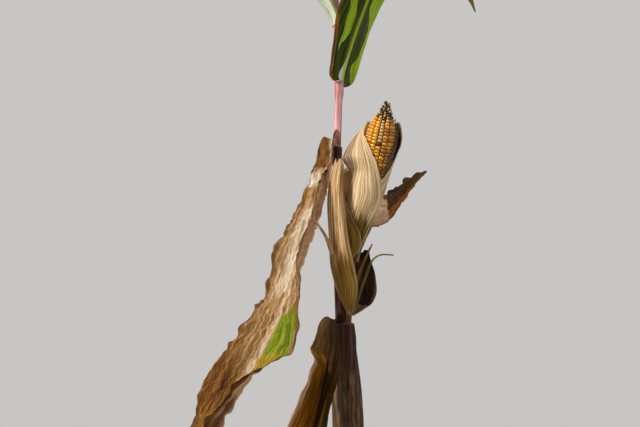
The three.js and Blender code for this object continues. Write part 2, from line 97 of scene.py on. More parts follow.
# The leaves from the ground up: where the sheath starts and ends, the blade's heading, its slope by
# share of its length, how far each half is folded up, and how it sweeps, twists and ripples
EAR_LEAF = 6
BROWN_LEAF = 7
SPLIT_LEAF = 8
BANDED_LEAF = 9
PALE_LEAF = 10
PLAIN_LEAF = dict(sweep=8, twist=20, wave=4, waves=5, clasp=98, grip=18, kept=1, breadth=1, green=False)
LEAVES = [
    dict(node=76, collar=150, heading=168, twist=120, wave=3, kept=0.38, bend=hanging(62), left=folded(62)),
    dict(node=172, collar=290, heading=-24, twist=-90, sweep=-14, kept=0.6,
         bend=hanging(74), left=folded(55)),
    dict(node=312, collar=430, heading=150, twist=70, kept=0.8, bend=snapped(38, 0.22), left=folded(50)),
    dict(node=452, collar=585, heading=-12, twist=60, sweep=-22, wave=6, bend=hanging(70), left=folded(-48)),
    dict(node=608, collar=745, heading=166, twist=-60, sweep=16, bend=snapped(48, 0.3), left=folded(44)),
    dict(node=752, collar=900, heading=34, twist=45, sweep=-12, wave=6, clasp=70,
         bend=hanging(60), left=folded(-40)),
    dict(node=886, collar=1056, heading=235, twist=20, sweep=-35, clasp=42, kept=0.85,
         bend=[(0, 86), (0.009, 16), (0.022, -60), (0.04, -89), (0.1, -70), (0.25, -70), (0.6, -76),
               (1, -88)],
         left=[(0, 0), (0.04, 20), (0.3, 28), (1, 40)],
         right=[(0, 0), (0.02, 5), (0.04, 35), (0.08, 52), (0.12, 102), (0.16, 95), (0.24, 80), (1, 40)]),
    dict(node=1046, collar=1164, heading=38, twist=-30, sweep=4, kept=0.34,
         bend=[(0, 86), (0.04, 25), (0.25, 22), (0.5, 50), (0.8, 48), (1, 40)],
         left=folded(58)),
    dict(node=1150, collar=1285, heading=247, twist=20, sweep=-39, clasp=60,
         bend=[(0, 86), (0.01, 30), (0.022, -60), (0.04, -88), (0.12, -67), (0.32, -62), (0.56, -58),
               (1, -78)],
         left=[(0, 0), (0.04, 45), (0.1, 65), (0.3, 62), (0.36, 48), (0.39, 20), (0.43, 4), (0.47, -14),
               (0.51, 10), (0.54, 27), (0.62, 38), (1, 40)],
         right=[(0, 0), (0.1, -4), (0.17, 0), (0.23, 16), (0.3, 16), (0.36, 8), (0.43, 36), (0.6, 54),
                (1, 40)]),
    dict(node=1271, collar=1388, heading=-42, twist=-20, grip=4, breadth=1.16, green=True,
         bend=arching(60, -66), left=folded(16)),
    dict(node=1374, collar=1490, heading=190, sweep=-14, green=True, bend=arching(54, -70), left=folded(24)),
    dict(node=1476, collar=1600, heading=22, sweep=18, green=True, bend=arching(60, -62), left=folded(26)),
    dict(node=1586, collar=1730, heading=208, twist=-20, green=True, bend=arching(68, -40), left=folded(30)),
]
LEAVES = [{**PLAIN_LEAF, "right": leaf["left"], **leaf} for leaf in LEAVES]

# The loose sheath, and the stalk that comes out of it, by height and distance from the stem's middle
STALK_HEADING = -61
STALK_BULGE = 10.3
STALK_RADIUS = 3.5
STALK_LENGTH = 195.8
STALK_IN_SHEATH = [(945, 13.4), (1000, 12.8), (1046, 12.8)]
BULGE_BY_ANGLE = [(0, 1), (15, 0.92), (30, 0.66), (50, 0.32), (90, 0.03), (120, 0)]
LOOSE_BY_HEIGHT = [(905, 0), (940, 4), (975, 5), (1030, 2), (1060, 0)]

# The ear, by distance along it from the sheath's mouth
EAR_POINTS = [
    (6.7, -14, 1069), (13, -31, 1134), (28.5, -45, 1197), (42, -59, 1250), (54.2, -73, 1304.4),
]
COB_START = 66
COB_RADIUS = [
    (44, 3.3), (66, 4.5), (80, 7.8), (100, 12.5), (125, 16), (150, 17.8), (185, 18.2), (205, 17.2),
    (218, 14.8), (230, 10.5), (240, 6), (250, 2.6),
]
FLAT = [(0, 0)]
HUSKS = {
    "husk_right": dict(
        layer=0, start=60, end=227,
        from_turn=[(60, -50), (100, -20), (125, 6), (146, 32), (157, 50), (185, 78), (205, 84), (227, 98)],
        to_turn=[(60, 205), (150, 196), (200, 176), (227, 150)],
        from_lift=[(150, 0), (185, 3.5), (202, 6.5), (227, 6)],
        to_lift=[(200, 0), (227, 4)],
    ),
    "husk_back": dict(
        layer=1, start=54, end=224,
        from_turn=[(54, 120), (150, 126), (200, 160), (224, 204)],
        to_turn=[(54, 202), (136, 204), (165, 232), (224, 242)],
        from_lift=FLAT,
        to_lift=[(136, 0), (180, 1), (224, 4)],
    ),
    "husk_left": dict(
        layer=1, start=54, end=214,
        from_turn=[(54, -148), (130, -144), (152, -112), (160, -98), (214, -97)],
        to_turn=[
            (54, 40), (100, 50), (125, 58), (146, 34), (159, 15), (168, 2), (179, -17), (193, -43),
            (203, -70), (214, -88),
        ],
        from_lift=[(130, 0), (152, 1), (160, 8), (170, 18), (197, 11), (214, 4)],
        to_lift=FLAT,
    ),
    "husk_outer": dict(
        layer=2, start=48, end=164,
        from_turn=[(48, -196), (120, -190), (138, -160), (164, -136)],
        to_turn=[
            (48, -40), (60, 4), (70, 30), (86, 8), (101, -34), (120, -66), (134, -84), (150, -96),
            (164, -118),
        ],
        from_lift=[(120, 0), (164, 6)],
        to_lift=[(100, 0), (130, 4), (150, 9), (164, 11)],
    ),
}

# The loose husk rolled into a spindle, by share of its length
ROLL_POINTS = [
    (6.9, -19, 1066), (6, -31, 1071), (4.1, -42, 1084.5), (-2.4, -55, 1113.6), (-7.4, -60, 1161),
    (-8.9, -61.5, 1190), (-2.6, -63, 1238),
]
ROLL_RADIUS = [
    (0, 2.4), (0.06, 5.2), (0.13, 9.4), (0.21, 12), (0.3, 12.4), (0.45, 10.4), (0.6, 9.4), (0.8, 7),
    (0.92, 5.4), (1, 2.8),
]
ROLL_FROM = 55
ROLL_TO = -250

# The dark husk opened into a cup, and the loose strips
CUP_START = -4
CUP_END = 70
CUP_MIDDLE = 108
CUP_BACK_SHARE = 0.7
CUP_RADIUS = [(-4, 5.1), (4, 17), (12, 27), (24, 31), (42, 27.5), (64, 18), (70, 16.5)]
CUP_SPREAD = [(-4, 26), (10, 52), (24, 57), (44, 48), (60, 38), (70, 18)]
STRIPS = {
    "husk_strip_left": (2.6, [(-12.7, -65.9, 1118), (-20.4, -82, 1132.5), (-32.2, -92, 1147.5)]),
    "husk_strip_near": (2.2, [(11.35, -22.3, 1086), (20.8, -37, 1113.8), (32, -43, 1137)]),
    "husk_strip_right": (2, [
        (9.9, -16.8, 1064), (22.9, -37, 1098), (32.5, -42, 1119.6), (41, -43, 1124.5), (54.7, -44, 1124),
    ]),
}
SILK_STANDS = [(172, 1.4), (200, 2), (226, 2.5), (246, 6)]

# Rings of prop roots: height, count, reach and radius
ROOT_WHORLS = [(30, 8, 34, 2.4), (62, 7, 62, 2.8)]

# How finely the meshes are cut: a row by its height, the rest by number
CURVE_STEPS = 40
LINE_POINTS = 500
MIDRIB_STEPS = 960
STEM_RINGS = 650
STEM_FINE_SIDES = 30
ROOT_RINGS = 14
ROOT_SIDES = 12
SHEATH_ROW = 3
SHEATH_COLUMNS = 57
BLADE_ROW_AND_COLUMNS = (3, 29)
NEAR_ROW_AND_COLUMNS = (2, 65)
KERNEL_RINGS = 8
KERNEL_SIDES = 14
CORE_RINGS = 120
CORE_SIDES = 64
HUSK_ROW = 1.3
HUSK_COLUMNS = 121
ROLL_GRID = (170, 97)
CUP_GRID = (70, 81)
STRIP_RINGS = 60
STRIP_SIDES = 12
STALK_RINGS = 90
STALK_SIDES = 24
SILK_POINTS = 26
TWIG_POINTS = 60


# Numbers


def lerp(a, b, t):
    return a + (b - a) * t


def smoothstep(t, low, high):
    x = np.clip((t - low) / (high - low), 0, 1)
    return x * x * (3 - 2 * x)


def fall(t, low, high):
    return 1 - smoothstep(t, low, high)


def between(stations, t):
    """Value of a list of stations at t, in straight lines from one to the next"""
    return np.interp(t, *np.transpose(stations))


def smooth(stations, t):
    """The same in one smooth curve that turns back only at the stations"""
    places, values = np.array(stations, float).T
    if len(places) == 1:
        return np.full(np.shape(t), values[0])
    rises = np.diff(values) / np.diff(places)
    before = np.r_[rises[0], rises]
    after = np.r_[rises, rises[-1]]
    both = before * after
    slopes = np.where(both > 0, 2 * both / np.where(both > 0, before + after, 1), 0)
    i = np.clip(np.searchsorted(places, t, side="right") - 1, 0, len(places) - 2)
    span = places[i + 1] - places[i]
    x = np.clip((t - places[i]) / span, 0, 1)
    leaving, arriving = slopes[i] * span, slopes[i + 1] * span
    turned = x * (1 - x) * (leaving * (1 - x) - arriving * x)
    return values[i] + (values[i + 1] - values[i]) * x * x * (3 - 2 * x) + turned


def hump(x, middle, width):
    return np.exp(-((x - middle) / width) ** 2)


def along(known, places, at):
    """Rows of a table of points or directions, at values between its places"""
    return np.stack([np.interp(at, places, known[:, k]) for k in range(3)], -1)


def grid(rows, columns):
    """Shares from 0 to 1 down the rows and across the columns of a grid"""
    return np.meshgrid(np.linspace(0, 1, rows), np.linspace(0, 1, columns), indexing="ij")


def bumps(x, y, seed):
    """Smooth noise from -1 to 1, with about one bump for each whole step of x and of y"""
    x, y = np.broadcast_arrays(x, y)
    x0, y0 = np.floor(x), np.floor(y)
    fx, fy = smoothstep(x - x0, 0, 1), smoothstep(y - y0, 0, 1)

    def corner(dx, dy):
        value = np.sin((x0 + dx) * 127.1 + (y0 + dy) * 311.7 + seed * 74.7) * 43758.5453
        return 2 * (value - np.floor(value)) - 1

    near = lerp(corner(0, 0), corner(1, 0), fx)
    far = lerp(corner(0, 1), corner(1, 1), fx)
    return lerp(near, far, fy)


def unit(vectors):
    return vectors / np.maximum(np.linalg.norm(vectors, axis=-1, keepdims=True), 1e-9)


def spread(centre, turn, radius, height):
    """Points round an upright line, by heading in degrees"""
    angle = np.radians(turn)
    x, y, z = np.broadcast_arrays(centre + radius * np.cos(angle), radius * np.sin(angle), height)
    return np.stack([x, y, z], -1)


# Meshes


def place_of(across, lengthwise, shift):
    """Where points lie on an organ, in millimetres, for its streaks to follow"""
    return np.stack(np.broadcast_arrays(across, lengthwise, shift), -1)


def place_round(rings, sides, girth, length, shift):
    """The same for the points of a tube, whose sides are girth apart"""
    side = np.tile(np.arange(sides) * girth, rings)
    return place_of(side, np.repeat(np.linspace(0, length, rings), sides), shift)


def object_of(name, data):
    made = bpy.data.objects.new(name, data)
    scene.collection.objects.link(made)
    return made


def piece(name, points, faces, slot, looks, replaced=(), look_of=None, **values):
    """An object on the plant's body. Its materials read the values: one number or one for each point."""
    mesh = bpy.data.meshes.new(name)
    mesh.from_pydata((points * MM).tolist(), [], faces)
    for look in looks:
        mesh.materials.append(look)
    if look_of is not None:
        mesh.polygons.foreach_set("material_index", look_of)
    mesh.polygons.foreach_set("use_smooth", [True] * len(mesh.polygons))
    for key, value in values.items():
        if np.ndim(value) == 0:
            value = np.full(len(points), value)
        kind, field = ("FLOAT_VECTOR", "vector") if value.ndim == 2 else ("FLOAT", "value")
        attribute = mesh.attributes.new(key, kind, "POINT")
        attribute.data.foreach_set(field, value.astype(np.float32).ravel())
    made = object_of(name, mesh)
    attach(made, "root")
    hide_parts(*replaced)


def sheet(name, middle, thickness, slot, looks, replaced, keep=None, **values):
    """A thin organ round a grid of middle points, front and back. keep marks the cells that are left."""
    rows, columns = middle.shape[:2]
    normal = unit(np.cross(np.gradient(middle, axis=1), np.gradient(middle, axis=0)))
    offset = np.broadcast_to(thickness, (rows, columns))[..., None] / 2 * normal
    count = rows * columns
    points = np.concatenate([middle + offset, middle - offset]).reshape(-1, 3)
    a = np.arange(rows - 1)[:, None] * columns + np.arange(columns - 1)
    b, c, d = a + 1, a + columns + 1, a + columns
    if keep is None:
        keep = np.ones(a.shape, bool)
    around = np.pad(keep, 1)
    front = np.stack([a, b, c, d], -1)[keep]
    back = np.stack([d, c, b, a], -1)[keep] + count
    walls = [
        np.stack([p, q, q + count, p + count], -1)[keep & ~beside]
        for p, q, beside in (
            (b, a, around[:-2, 1:-1]),
            (c, b, around[1:-1, 2:]),
            (d, c, around[2:, 1:-1]),
            (a, d, around[1:-1, :-2]),
        )
    ]
    faces = np.concatenate([front, back, *walls])
    used, faces = np.unique(faces, return_inverse=True)
    faces = faces.reshape(-1, 4)
    for key, value in values.items():
        if np.ndim(value):
            flat = value.reshape(count, *value.shape[2:])
            values[key] = np.concatenate([flat, flat])[used]
    look_of = np.zeros(len(faces), np.int32)
    look_of[len(front):len(front) + len(back)] = len(looks) - 1
    piece(name, points[used], faces.tolist(), slot, looks, replaced, look_of, **values)


def closed(rings):
    """Points and faces of a closed surface through rings of points"""
    count, sides = rings.shape[:2]
    first = np.arange(count - 1)[:, None] * sides
    j = np.arange(sides)
    k = (j + 1) % sides
    walls = np.stack([first + j, first + k, first + k + sides, first + j + sides], -1)
    ends = [list(range(sides))[::-1], list(range((count - 1) * sides, count * sides))]
    return rings.reshape(-1, 3), walls.reshape(-1, 4).tolist() + ends


def tube(line, radii, sides, flat=1.0):
    """A closed tube along a line of points. flat narrows it one way."""
    forward = unit(np.gradient(line, axis=0))
    side = np.empty_like(line)
    last = np.array([-1, 0.35, 0])
    for i, ahead in enumerate(forward):
        last = unit(last - ahead * (last @ ahead))
        side[i] = last
    other = np.cross(forward, side)
    angle = np.arange(sides) / sides * 2 * np.pi
    rings = (
        line[:, None]
        + radii[:, None, None] * np.cos(angle)[:, None] * side[:, None]
        + flat * radii[:, None, None] * np.sin(angle)[:, None] * other[:, None]
    )
    return closed(rings)


def joined(parts):
    """Several (points, faces) as one"""
    points, faces, count = [], [], 0
    for some, theirs in parts:
        points.append(some)
        faces += [[i + count for i in face] for face in theirs]
        count += len(some)
    return np.concatenate(points), faces


def walk(line):
    """The distance walked along a line at each of its points"""
    return np.r_[0, np.cumsum(np.linalg.norm(np.diff(line, axis=0), axis=1))]


def curve(corners, count):
    """A smooth line of points through corners, centripetal, evenly spaced by length"""
    corners = np.array(corners, float)
    ends = [2 * corners[0] - corners[1], *corners, 2 * corners[-1] - corners[-2]]
    found = []
    for p0, p1, p2, p3 in zip(ends, ends[1:], ends[2:], ends[3:]):
        t1 = np.linalg.norm(p1 - p0) ** 0.5
        t2 = t1 + np.linalg.norm(p2 - p1) ** 0.5
        t3 = t2 + np.linalg.norm(p3 - p2) ** 0.5
        t = np.linspace(t1, t2, CURVE_STEPS, endpoint=False)[:, None]
        a1 = p0 + (p1 - p0) * t / t1
        a2 = p1 + (p2 - p1) * (t - t1) / (t2 - t1)
        a3 = p2 + (p3 - p2) * (t - t2) / (t3 - t2)
        b1 = a1 + (a2 - a1) * t / t2
        b2 = a2 + (a3 - a2) * (t - t1) / (t3 - t1)
        found.append(b1 + (b2 - b1) * (t - t1) / (t2 - t1))
    found = np.concatenate([*found, corners[-1:]])
    walked = walk(found)
    return along(found, walked, np.linspace(0, walked[-1], count))


# Materials

# How far the shift of an organ moves it in the noise, the border of a patch of wear and of painted
# light and shade alike, and where along the noise the three tones of a finish stand
SHIFT_SCALE = 7.3
PATCH_BORDER = (0.85, 1.15)
TONE_PLACES = (0.36, 0.5, 0.64)


def feed(tree, socket, value):
    if isinstance(value, bpy.types.NodeSocket):
        tree.links.new(value, socket)
    else:
        socket.default_value = value


def node(tree, kind, settings=None, **inputs):
    """A shader node, with its inputs set by name to a number, a colour or another node's socket"""
    made = tree.nodes.new("ShaderNode" + kind)
    for key, value in (settings or {}).items():
        setattr(made, key, value)
    for key, value in inputs.items():
        key = key.replace("_", " ")
        feed(tree, made.inputs[int(key[3:])] if key.startswith("in ") else made.inputs[key], value)
    return made


def value_of(tree, name):
    return node(tree, "Attribute", {"attribute_name": name}).outputs["Fac"]


def streaks(tree, width, length, seed=0.0, detail=4.0):
    """Noise drawn out along an organ, in streaks of that width and length in millimetres"""
    place = node(tree, "Attribute", {"attribute_name": "place"}).outputs["Vector"]
    scales = (1 / width, 1 / length, SHIFT_SCALE)
    spaced = node(tree, "VectorMath", {"operation": "MULTIPLY"}, in_0=place, in_1=scales).outputs[0]
    shift = (seed, seed * 1.7, 0)
    moved = node(tree, "VectorMath", {"operation": "ADD"}, in_0=spaced, in_1=shift).outputs[0]
    noise = node(tree, "TexNoise", None, Vector=moved, Scale=1.0, Detail=detail, Roughness=0.6)
    return noise.outputs["Fac"]


def stops(tree, fac, *stations):
    """Colours by a value, in straight steps between stations of (value, colour)"""
    ramp = node(tree, "ValToRGB", None, Fac=fac)
    elements = ramp.color_ramp.elements
    while len(elements) < len(stations):
        elements.new(1.0)
    for element, (at, colour) in zip(elements, stations):
        element.position = at
        element.color = colour
    return ramp.outputs["Color"]


def patches(tree, name, width=6, length=34):
    """Where a value of the surface is high, with a ragged border drawn out along the veins"""
    uneven = streaks(tree, width, length, 3.0, 6.0)
    wear_and_painted_light = node(tree, "Math", {"operation": "ADD"}, in_0=value_of(tree, name), in_1=uneven).outputs[0]
    low, high = PATCH_BORDER
    smoothed = {"interpolation_type": "SMOOTHSTEP"}
    return node(tree, "MapRange", smoothed, in_0=wear_and_painted_light, in_1=low, in_2=high).outputs[0]


def blend(tree, fac, a, b):
    """Colour a where fac is 0 and b where it is 1"""
    made = tree.nodes.new("ShaderNodeMix")
    made.data_type = "RGBA"
    for key, value in (("Factor_Float", fac), ("A_Color", a), ("B_Color", b)):
        feed(tree, next(s for s in made.inputs if s.identifier == key), value)
    return next(s for s in made.outputs if s.identifier == "Result_Color")


def finish_of(name, roughness, paint, height=None, depth=0.2, glow=0.0, coat=0.0):
    """A material: paint(tree) gives its colour and height(tree) its relief, depth millimetres deep.
    glow is the share of light that comes through from behind."""
    material = bpy.data.materials.new(name)
    material.use_nodes = True
    tree = material.node_tree
    shader = tree.nodes["Principled BSDF"]
    colour = paint(tree)
    tree.links.new(colour, shader.inputs["Base Color"])
    shader.inputs["Roughness"].default_value = roughness
    shader.inputs["Specular IOR Level"].default_value = 0.5 if coat else 0.2
    shader.inputs["Coat Weight"].default_value = coat
    shader.inputs["Coat Roughness"].default_value = 0.15
    if height:
        relief = node(tree, "Bump", None, Height=height(tree), Distance=depth * MM, Strength=1.0)
        tree.links.new(relief.outputs[0], shader.inputs["Normal"])
    if glow:
        through = node(tree, "BsdfTranslucent", None, Color=colour)
        mixed = node(tree, "MixShader", None, in_0=glow, in_1=shader.outputs[0], in_2=through.outputs[0])
        tree.links.new(mixed.outputs[0], tree.nodes["Material Output"].inputs["Surface"])
    return material


def tone(code):
    """A colour written as it is seen, as the linear light that the shaders take"""
    channels = [(code >> shift & 255) / 255 for shift in (16, 8, 0)]
    return (*(c / 12.92 if c <= 0.04045 else ((c + 0.055) / 1.055) ** 2.4 for c in channels), 1)


# Camera, light and floor

scene.view_settings.view_transform = "Standard"

lens = bpy.data.cameras.new("camera")
lens.lens = CAMERA_LENS
lens.sensor_width = CAMERA_SENSOR
camera = object_of("camera", lens)
camera.location = CAMERA_PLACE
camera.rotation_euler = (math.radians(90 + CAMERA_TIP), 0, 0)
scene.camera = camera

SUN_FROM = (-0.62, -0.52, 0.62)
sun_light = bpy.data.lights.new("sun", "SUN")
sun_light.energy = 4.2
sun_light.angle = math.radians(8)
sun_light.color = (1.0, 0.95, 0.86)
sun = object_of("sun", sun_light)
sun.rotation_euler = Vector(SUN_FROM).to_track_quat("Z", "Y").to_euler()

world = bpy.data.worlds.new("studio")
world.use_nodes = True
backdrop = world.node_tree.nodes["Background"].inputs
backdrop["Color"].default_value = (0.95, 0.94, 0.92, 1)
backdrop["Strength"].default_value = 0.6
scene.world = world

FLOOR_HALF = 40
floor_mesh = bpy.data.meshes.new("floor")
floor_corners = [(x * FLOOR_HALF, y * FLOOR_HALF, 0) for x, y in ((-1, -1), (1, -1), (1, 1), (-1, 1))]
floor_mesh.from_pydata(floor_corners, [], [(0, 1, 2, 3)])
floor = object_of("floor", floor_mesh)
floor_paint = bpy.data.materials.new("floor")
floor_paint.use_nodes = True
floor_shader = floor_paint.node_tree.nodes["Principled BSDF"]
floor_shader.inputs["Base Color"].default_value = (0.46, 0.455, 0.44, 1)
floor_shader.inputs["Roughness"].default_value = 0.9
floor_mesh.materials.append(floor_paint)


# Finishes of the organs


def tones_of(tree, fac, tones):
    return stops(tree, fac, *zip(TONE_PLACES, [tone(code) for code in tones]))


def leafy(name, roughness, tones, dead_tones, rib_tone, glow=0.25, crinkle=0.5, marks=()):
    """A blade's or sheath's finish: streaked along its veins, mottled where it is dead, and with marks
    of other tones, each where the value of that name is high. crinkle is how far folds take the place
    of veins in its relief."""

    def paint(tree):
        fresh = tones_of(tree, streaks(tree, 2.4, 90), tones)
        dried = tones_of(tree, streaks(tree, 4, 26, 9.0, 6.0), dead_tones)
        colour = blend(tree, patches(tree, "dead"), fresh, dried)
        for mark, mark_tones in marks:
            marked = tones_of(tree, streaks(tree, 2.6, 44, 12.0, 5.0), mark_tones)
            colour = blend(tree, patches(tree, mark), colour, marked)
        return blend(tree, value_of(tree, "rib"), colour, tone(rib_tone))

    def height(tree):
        veins = streaks(tree, 0.8, 150, 5.0, 2.0)
        folds = streaks(tree, 2.8, 7, 6.0, 4.0)
        return blend(tree, crinkle, veins, folds)

    return finish_of(name, roughness, paint, height, 0.2 + 7 * crinkle ** 2, glow)


WITHERED = (0x6E4A1E, 0x9A7240, 0xC0A070)
BLUSH = ("blush", (0x94505A, 0xBA7E80, 0xD8A8A0))
GREEN_UPPER = leafy("blade_green_upper", 0.4, (0x2E3E04, 0x55700E, 0x8CA82A), WITHERED, 0xA8B468, 0.4, 0.2)
GREEN_UNDER = leafy("blade_green_under", 0.48, (0x3C4C0A, 0x64781A, 0xA2B438), WITHERED, 0xB4BC74, 0.5, 0.2)
# The banded blade's underside: its dark green is painted shade and its sunlit mark painted sunlight through
# the leaf
SUN_AND_SHADE_UNDER = leafy(
    "blade_under_painted_sun_and_shade", 0.48, (0x243000, 0x384A04, 0x56680C), WITHERED, 0xC4D048, 0.35, 0.2,
    [
        ("sunlit", (0x86A60C, 0xA8C81A, 0xC6DA44)),
        ("brown", (0x5A3410, 0x94601A, 0xC89030)),
        ("silver", (0xE0D8C0, 0xF4F0E0, 0xFFFCF4)),
    ],
)
PALE_UNDER = leafy("blade_pale_under", 0.48, (0x5C7440, 0x84A060, 0xAAC088), WITHERED, 0xD8E0C0, 0.3, 0.2,
                   [("silver", (0xC0CCAC, 0xE0E8D4, 0xF6F6EC))])
DRY_UPPER = leafy("blade_dry_upper", 0.6, (0x7E5C30, 0xA5824E, 0xC8A878), (0x4E341A, 0x7A5832, 0xA68658),
                  0xC4AA7C, 0.3, 0.6)
DRY_UNDER = leafy("blade_dry_under", 0.65, (0x765832, 0x9A7A4C, 0xBC9E70), (0x46301A, 0x705230, 0x987A50),
                  0xB89C70, 0.3, 0.6)
# Its silver mark is partly painted highlight and its brown mark partly painted shade
SPLIT_UPPER = leafy(
    "blade_split_upper", 0.5, (0x7A5426, 0xB08858, 0xDCC09A), (0x4A2E10, 0x744E22, 0xA07A4A),
    0xF0DCC0, 0.3, 0.8,
    [
        ("silver", (0xA48C6C, 0xD2C0A2, 0xF2E8D4)),
        ("green", (0x4E6000, 0x748404, 0x98A010)),
        ("yellow", (0x786010, 0xA08418, 0xBEA02C)),
        ("brown", (0x4A2A06, 0x7C4E14, 0xA87830)),
        BLUSH,
    ],
)
# The split blade's underside: pale tones painted as if sunlit, and a brown mark that is partly painted shade
# at its folded end
SUNLIT_SPLIT_UNDER = leafy(
    "blade_split_under_painted_sunlight", 0.55, (0xC4A07C, 0xE4C4A4, 0xF8E2C8), (0xA88058, 0xD0AA80, 0xECCCA8), 0xF4E0C4,
    0.6, 0.4,
    [("brown", (0x4A2A06, 0x74481A, 0x9C7034)), BLUSH],
)
# The brown blade: its silver mark is painted sunlight on its lit face, and its warm mark painted glow of
# light through it
BROWN_BLADE = leafy(
    "blade_brown", 0.6, (0x4A3010, 0x7A5424, 0xA67C42), (0x38240C, 0x62421C, 0x8C683A), 0xA06A24, 0.55, 0.6,
    [("warm", (0x8A500C, 0xB4701C, 0xD69438)), ("silver", (0xD0AC90, 0xF0D4B8, 0xFCECDC))],
)
# The blade below the ear: partly its own dry brown, partly painted dark as shade cast by the ear
SHADED_OLIVE_BLADE = leafy(
    "blade_olive_painted_shade", 0.6, (0x382408, 0x5A3E14, 0x82602A), (0x2C1E0A, 0x4C3416, 0x70522A), 0x1E1606, 0.3, 0.6,
    [("warm", (0x663C04, 0x98620E, 0xC08420)), ("silver", (0xA87C54, 0xD0A47C, 0xE8C8A4))],
)
PINK_SHEATH = leafy("sheath_pink", 0.42, (0xA4626A, 0xD69A9C, 0xF6CEC6), (0x7A3A42, 0xA05A60, 0xC48482),
                    0xD8A09C, 0.1, 0.15, [("silver", (0xC0A8A0, 0xDCCCC0, 0xF0E8DC))])
DRY_SHEATH = leafy("sheath_dry", 0.6, (0x5E4228, 0x7E5E3C, 0xA0805A), (0x442C24, 0x62423A, 0x8A6C50),
                   0x8A6C48, 0.1, 0.4)
# Dark purple-brown sheaths round the ear: partly their own colour, partly painted shade of the husks and
# blade over them
SHADED_DARK_SHEATH = leafy("sheath_dark_painted_shade", 0.6, (0x281214, 0x422422, 0x643E36), (0x302014, 0x523824, 0x846444),
                    0x8A6C50, 0.05, 0.4)


# Stem and prop roots

STEM_FINISH = leafy("stem", 0.4, (0x6A4A24, 0x8A6A38, 0xA98C54), (0x4A3020, 0x6A4A30, 0x8E7048), 0x8A6A38,
                    0.0, 0.1)


def rings_round(middles, radii, sides):
    turn = np.arange(sides) / sides * 360
    return middles[:, None] + spread(0, turn, radii[:, None], 0)


def stem_rings():
    z = np.linspace(0, STEM_TOP, STEM_RINGS)
    radius = between(STEM_RADIUS, z)
    for leaf in LEAVES:
        off = np.abs(z - leaf["node"]) / NODE_HALF_HEIGHT
        radius = radius * (1 + NODE_SWELLING * fall(off, 0, 1))
    return rings_round(spread(between(STEM_SWAY, z), 0, 0, z), radius, STEM_FINE_SIDES)


def root_rings(height, count, reach, radius, index):
    heading = (index + height / 100) / count * 360
    inside = between(STEM_RADIUS, height) - 3 * radius
    t = np.linspace(0, 1, ROOT_RINGS)
    out = lerp(reach, inside, t ** 1.35) + 1.2 * bumps(3 * t, index, height)
    middles = spread(0, heading + 4 * bumps(2 * t, index, height + 1), out, height * t)
    return rings_round(middles, radius * (1.25 - 0.25 * t + 0.1 * bumps(6 * t, index, 5)), ROOT_SIDES)


roots = [
    closed(root_rings(height, count, reach, radius, index))
    for height, count, reach, radius in ROOT_WHORLS
    for index in range(count)
]
points, faces = joined([closed(stem_rings()), *roots])
heading = np.degrees(np.arctan2(points[:, 1], points[:, 0]))
piece("stem_fine", points, faces, "stem", [STEM_FINISH], ["stem"],
      place=place_of(heading * 0.15, points[:, 2], 0), dead=0, rib=0)


# Sheaths

FACET = math.cos(math.pi / STEM_SIDES)
SHEATH_SHEET = 0.8

# Keeps the streaks of one leaf from those of the next
LEAF_SHIFT = 5.0


def sheath_radius(index, z, from_stalk):
    """Middle radius of a sheath, as the solid's rule gives it"""
    leaf = LEAVES[index]
    snug = between(STEM_RADIUS, z) * (1 + NODE_SWELLING) / FACET + GAP
    mouth = (snug + SHEATH_THICKNESS) / FACET + GAP
    opening = smoothstep(z, leaf["collar"] - MOUTH_LENGTH, leaf["collar"] - SHEATH_OVERLAP)
    radius = lerp(snug, mouth, opening) + SHEATH_THICKNESS / 2
    if index != EAR_LEAF:
        return radius
    rising = smoothstep(z, leaf["node"] + 16, leaf["node"] + 50)
    return radius + STALK_BULGE * smooth(BULGE_BY_ANGLE, from_stalk) * rising + smooth(LOOSE_BY_HEIGHT, z)


def sheath(index):
    leaf = LEAVES[index]
    green = leaf["green"]
    u, v = grid(int((leaf["collar"] - leaf["node"]) / SHEATH_ROW), SHEATH_COLUMNS)
    z = lerp(leaf["node"], leaf["collar"], u)
    off = lerp(-SHEATH_SPREAD - 6, SHEATH_SPREAD + 22, v)
    turn = leaf["heading"] + off
    from_stalk = np.abs((turn - STALK_HEADING + 180) % 360 - 180)
    radius = sheath_radius(index, z, from_stalk)
    lap = 0.9 * smoothstep(off, 150, 166)
    veins = 0.12 * np.sin(np.radians(off) * 18)
    middle = spread(between(STEM_SWAY, z), turn, radius + lap + veins, z)
    dead = 0.62 * hump(off, -48, 9) if green else 0.25
    if index == EAR_LEAF:
        dead = 0.75 - 0.6 * smoothstep(z, 985, 1030)
    stripe = 0.3 * fall(np.abs(off), 2, 12) * green
    # a pale line at the sheath's mouth, partly a pale rim and partly painted highlight
    mouth = smoothstep(z, leaf["collar"] - 2, leaf["collar"])
    # the sheaths round the ear take the dark finish, which is partly painted shade
    brown = SHADED_DARK_SHEATH if index in (EAR_LEAF, BROWN_LEAF, SPLIT_LEAF) else DRY_SHEATH
    name = f"leaf_{index + 1:02d}_sheath"
    sheet(name + "_fine", middle, SHEATH_SHEET, "sheath_pink" if green else "sheath_dry",
          [PINK_SHEATH if green else brown], [name],
          place=place_of(np.radians(off) * radius, z, index * LEAF_SHIFT),
          dead=dead, rib=np.minimum(stripe + mouth, 0.9),
          silver=0.9 * green * fall(z, leaf["node"] + 14, leaf["node"] + 34))


for index in range(len(LEAVES)):
    sheath(index)


# Blades

BLADE_SHEET = 0.45
RIB_THICKNESS = 2.4


def blade_length(index):
    return BLADE_LONGEST * LEAVES[index]["kept"] * (1 - 0.5 * ((index - 5.5) / 6.5) ** 2)


def blade_width(index):
    return BLADE_WIDEST * LEAVES[index]["breadth"] * (1 - 0.4 * ((index - 7.5) / 7.5) ** 2)


def blade_taper(u):
    return (0.5 + 0.5 * smoothstep(u, 0, 0.22)) * (1 - u ** 2.3) ** 0.85


